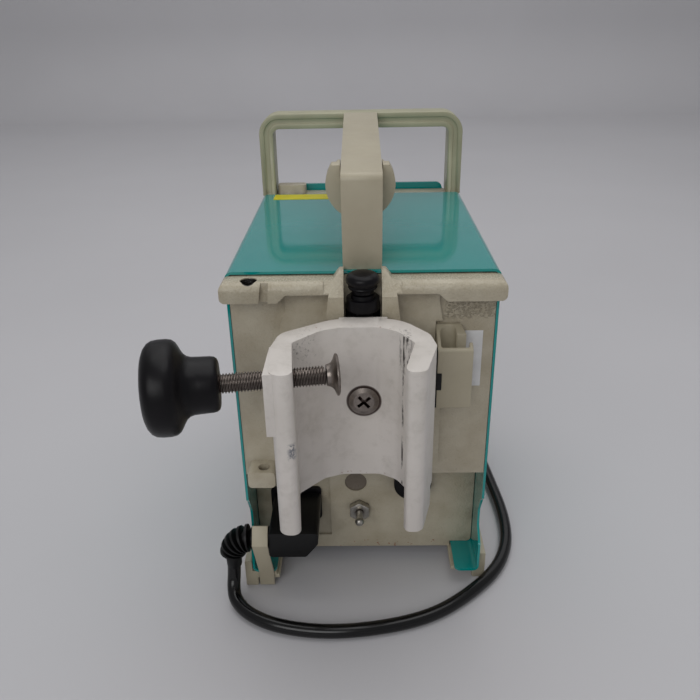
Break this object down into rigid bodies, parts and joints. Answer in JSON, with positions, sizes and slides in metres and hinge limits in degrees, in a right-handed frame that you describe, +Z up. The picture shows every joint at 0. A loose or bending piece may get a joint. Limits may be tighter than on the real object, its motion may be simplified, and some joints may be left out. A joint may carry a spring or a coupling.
{
  "type": "peristaltic pump",
  "caption": "Bench-top peristaltic feeding pump with carrying handles, a swivelling pole clamp on its rear, a lock plunger, and a roller pump head behind a hinged door.",
  "frame": {"origin": "on the floor under the middle of the teal cover's footprint", "axes": "+Z up, -Y the rear with the pole clamp and the mains inlet, +Y the operator's side with the pump head, +X to the right when the rear is looked at"},
  "size_m": [0.2172, 0.4993, 0.285],
  "materials": {
    "teal_paint": "gloss paint",
    "cream_paint": "wrinkle paint",
    "cream_plastic": "moulded, fine grain",
    "dark_plate": "satin",
    "handle_plastic": "moulded, fine grain",
    "white_paint": "satin powder coat, scuffed",
    "steel": "satin",
    "brass": "satin",
    "aluminium": "mill",
    "black_plastic": "moulded",
    "black_rubber": "satin",
    "white_label": "blank label",
    "yellow_label": "blank label",
    "grey_plastic": "moulded",
    "white_plastic": "moulded",
    "clear_pane": "clear",
    "dark_pane": "tinted",
    "board_green": "circuit board",
    "green_key": "moulded",
    "red_key": "moulded"
  },
  "bodies": {
    "housing": {"cover_shell": "teal_paint", "rear_casting": "cream_paint", "base_plate": "dark_plate", "left_foot_rail": "cream_plastic", "right_foot_rail": "cream_plastic", "front_casting": "cream_paint", "front_fascia": "teal_paint", "front_handle": "handle_plastic", "top_handle": "cream_plastic", "handle_disc": "cream_plastic", "swivel_washer": "steel", "pivot_screw": "steel", "plunger_housing": "black_plastic", "sensor_pocket": "cream_plastic", "pocket_bumper": "black_rubber", "rating_label": "white_label", "cover_label": "yellow_label", "inlet_socket": "black_plastic", "inlet_pins": "brass", "angle_plug": "black_rubber", "strain_relief": "black_rubber", "plug_strap": "cream_plastic", "ground_stud": "steel", "ground_nut": "steel", "call_socket": "black_plastic", "mains_cord": "black_rubber", "cord_coil": "black_rubber", "mains_plug": "black_rubber", "head_plate": "cream_plastic", "pressure_track": "cream_plastic", "shaft_bearing": "steel", "hinge_pin": "steel", "display_window": "dark_pane", "display_module": "board_green", "gear_bracket": "aluminium", "gear_motor": "steel", "main_board": "board_green", "power_supply": "aluminium"},
    "clamp": {"clamp_jaw": "white_paint", "swivel_plate": "white_paint"},
    "clamp_pad_body": {"clamp_pad": "steel"},
    "clamp_screw_body": {"clamp_screw": "steel", "clamp_knob": "black_plastic"},
    "plunger": {"lock_pin": "steel", "pull_knob": "black_plastic"},
    "rotor_body": {"rotor": "grey_plastic", "roller_pins": "steel", "drive_shaft": "steel", "drive_gear": "white_plastic"},
    "roller_1_body": {"roller_1": "white_plastic"},
    "roller_2_body": {"roller_2": "white_plastic"},
    "roller_3_body": {"roller_3": "white_plastic"},
    "pinion_body": {"motor_pinion": "brass"},
    "door": {"pump_door": "cream_plastic", "door_window": "clear_pane"},
    "latch": {"door_latch": "grey_plastic"},
    "start_key_body": {"start_key": "green_key"},
    "stop_key_body": {"stop_key": "red_key"},
    "up_key_body": {"up_key": "grey_plastic"},
    "down_key_body": {"down_key": "grey_plastic"}
  },
  "joints": [
    {"name": "clamp_swivel", "type": "hinge", "parent": "housing", "child": "clamp", "pos_m": [0, -0.108, 0.1618], "axis": [0, -1, 0], "range_deg": [0, 90]},
    {"name": "clamp_feed", "type": "slide", "parent": "clamp", "child": "clamp_pad_body", "axis": [0.989, 0.1478, 0], "range_m": [-0.012, 0.02]},
    {"name": "clamp_screw_turn", "type": "hinge", "parent": "clamp_pad_body", "child": "clamp_screw_body", "pos_m": [-0.0124, -0.1475, 0.193], "axis": [0.989, 0.1478, 0], "range_deg": [-2890, 4810]},
    {"name": "plunger_pull", "type": "slide", "parent": "housing", "child": "plunger", "axis": [0, 0, 1], "range_m": [0, 0.006], "stiffness_N_per_m": 600, "springref_m": -0.003},
    {"name": "rotor_turn", "type": "hinge", "parent": "housing", "child": "rotor_body", "pos_m": [-0.026, 0.12, 0.086], "axis": [0, 1, 0], "continuous": true},
    {"name": "roller_1_turn", "type": "hinge", "parent": "rotor_body", "child": "roller_1_body", "pos_m": [-0.026, 0.1257, 0.1035], "axis": [0, 1, 0], "continuous": true},
    {"name": "roller_2_turn", "type": "hinge", "parent": "rotor_body", "child": "roller_2_body", "pos_m": [-0.04115, 0.1257, 0.07725], "axis": [0, 1, 0], "continuous": true},
    {"name": "roller_3_turn", "type": "hinge", "parent": "rotor_body", "child": "roller_3_body", "pos_m": [-0.01085, 0.1257, 0.07725], "axis": [0, 1, 0], "continuous": true},
    {"name": "pinion_turn", "type": "hinge", "parent": "housing", "child": "pinion_body", "pos_m": [0.00415, 0.07, 0.086], "axis": [0, 1, 0], "continuous": true},
    {"name": "door_hinge", "type": "hinge", "parent": "housing", "child": "door", "pos_m": [-0.0615, 0.1357, 0.086], "axis": [0, 0, 1], "range_deg": [0, 110]},
    {"name": "latch_turn", "type": "hinge", "parent": "door", "child": "latch", "pos_m": [0.007, 0.1437, 0.086], "axis": [0, -1, 0], "range_deg": [0, 90]},
    {"name": "start_key_press", "type": "slide", "parent": "housing", "child": "start_key_body", "axis": [0, -1, 0], "range_m": [0, 0.0012], "stiffness_N_per_m": 500, "springref_m": -0.0008},
    {"name": "stop_key_press", "type": "slide", "parent": "housing", "child": "stop_key_body", "axis": [0, -1, 0], "range_m": [0, 0.0012], "stiffness_N_per_m": 500, "springref_m": -0.0008},
    {"name": "up_key_press", "type": "slide", "parent": "housing", "child": "up_key_body", "axis": [0, -1, 0], "range_m": [0, 0.0012], "stiffness_N_per_m": 500, "springref_m": -0.0008},
    {"name": "down_key_press", "type": "slide", "parent": "housing", "child": "down_key_body", "axis": [0, -1, 0], "range_m": [0, 0.0012], "stiffness_N_per_m": 500, "springref_m": -0.0008}
  ],
  "couplings": [
    {"joint": "clamp_screw_turn", "follows": "clamp_feed", "rad_per_m": 4188.8},
    {"joint": "pinion_turn", "follows": "rotor_turn", "ratio": -4},
    {"joint": "roller_1_turn", "follows": "rotor_turn", "ratio": -4.2},
    {"joint": "roller_2_turn", "follows": "rotor_turn", "ratio": -4.2},
    {"joint": "roller_3_turn", "follows": "rotor_turn", "ratio": -4.2}
  ]
}
